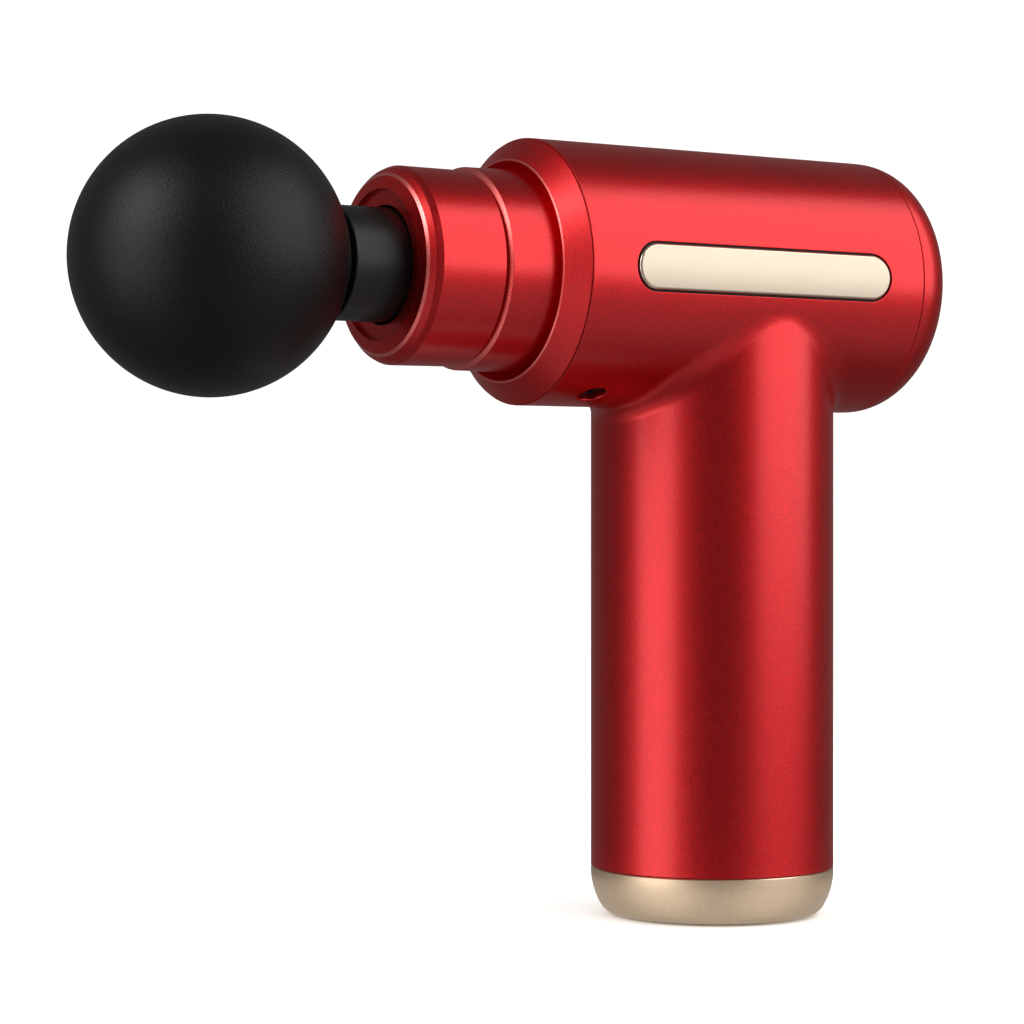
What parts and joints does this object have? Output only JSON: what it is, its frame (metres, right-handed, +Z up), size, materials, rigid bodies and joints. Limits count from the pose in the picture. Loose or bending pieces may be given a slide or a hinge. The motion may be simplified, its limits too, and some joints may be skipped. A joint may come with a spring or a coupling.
{
  "type": "massage gun",
  "caption": "Handheld percussion massage gun: T-shaped metal body, stepped nose with a sliding shaft, ball head, and a rounded base that it stands on.",
  "frame": {"origin": "centre of the foot pad's flat underside, on the handle's axis", "axes": "+Z up along the handle; the barrel lies along X with the ball head towards -X and the power button on the +X end; +Y completes the right-handed frame"},
  "size_m": [0.1616, 0.0456, 0.1333],
  "materials": {
    "red_shell": "satin red anodised",
    "champagne_base": "satin champagne anodised",
    "champagne_plate": "satin light champagne",
    "ball_rubber": "fine matte grain",
    "black_acetal": "satin",
    "black_plastic": "moulded matte",
    "frame_nylon": "moulded glass-filled nylon",
    "bush_acetal": "smooth",
    "soft_rubber": "matte",
    "steel": "machined",
    "dark_steel": "black oxide",
    "core_steel": "laminated",
    "copper": "enamelled copper wire",
    "alloy": "machined",
    "circuit_board": "solder mask",
    "chip_black": "moulded",
    "light_lens": "clear",
    "cell_wrap": "shrink sleeve",
    "nickel": "plated strip",
    "button_black": "satin",
    "wire_red": "insulated",
    "wire_black": "insulated"
  },
  "bodies": {
    "root": {"main_housing": "red_shell", "front_ring": "red_shell", "rear_cap": "red_shell", "light_pipes": "light_lens", "left_plate": "champagne_plate", "right_plate": "champagne_plate", "plate_gaskets": "soft_rubber", "base_cap": "champagne_base", "base_pad": "soft_rubber", "base_screws": "dark_steel", "nose_bezel": "red_shell", "nose_sleeve": "red_shell", "wiper_seal": "soft_rubber", "shaft_bush": "bush_acetal", "drive_frame": "frame_nylon", "frame_screws": "dark_steel", "motor_mount": "alloy", "motor_screws": "steel", "motor_bearings": "steel", "motor_stator": "core_steel", "motor_windings": "copper", "tact_switch": "chip_black", "control_board": "circuit_board", "board_lights": "light_lens", "driver_board": "circuit_board", "driver_chips": "chip_black", "usb_port": "steel", "left_cell": "cell_wrap", "right_cell": "cell_wrap", "lower_holder": "black_plastic", "upper_holder": "black_plastic", "cell_link": "nickel", "cell_tabs": "nickel", "motor_leads": "wire_red", "control_harness": "wire_black"},
    "crank": {"motor_bell": "steel", "motor_magnets": "core_steel", "motor_shaft": "steel", "crank_disc": "steel", "crank_pin": "steel", "crank_roller": "steel"},
    "piston": {"piston_shaft": "black_acetal", "yoke": "alloy", "yoke_wear_strips": "dark_steel", "yoke_pin": "steel"},
    "massage_head": {"head_core": "black_plastic", "ball_cover": "ball_rubber", "head_oring": "soft_rubber"},
    "power_button": {"power_button": "button_black"}
  },
  "joints": [
    {"name": "percussion_stroke", "type": "slide", "parent": "root", "child": "piston", "axis": [1, 0, 0], "range_m": [-0.0035, 0.0035]},
    {"name": "crank_turn", "type": "hinge", "parent": "root", "child": "crank", "pos_m": [0, 0, 0.11085], "axis": [0, 0, 1], "range_deg": [-90, 90]},
    {"name": "head_pull_off", "type": "slide", "parent": "piston", "child": "massage_head", "axis": [-1, 0, 0], "range_m": [0, 0.02]},
    {"name": "power_button_press", "type": "slide", "parent": "root", "child": "power_button", "axis": [-1, 0, 0], "range_m": [0, 0.001], "stiffness_N_per_m": 2500}
  ],
  "couplings": [
    {"joint": "crank_turn", "follows": "percussion_stroke", "rad_per_m": 448.79}
  ]
}
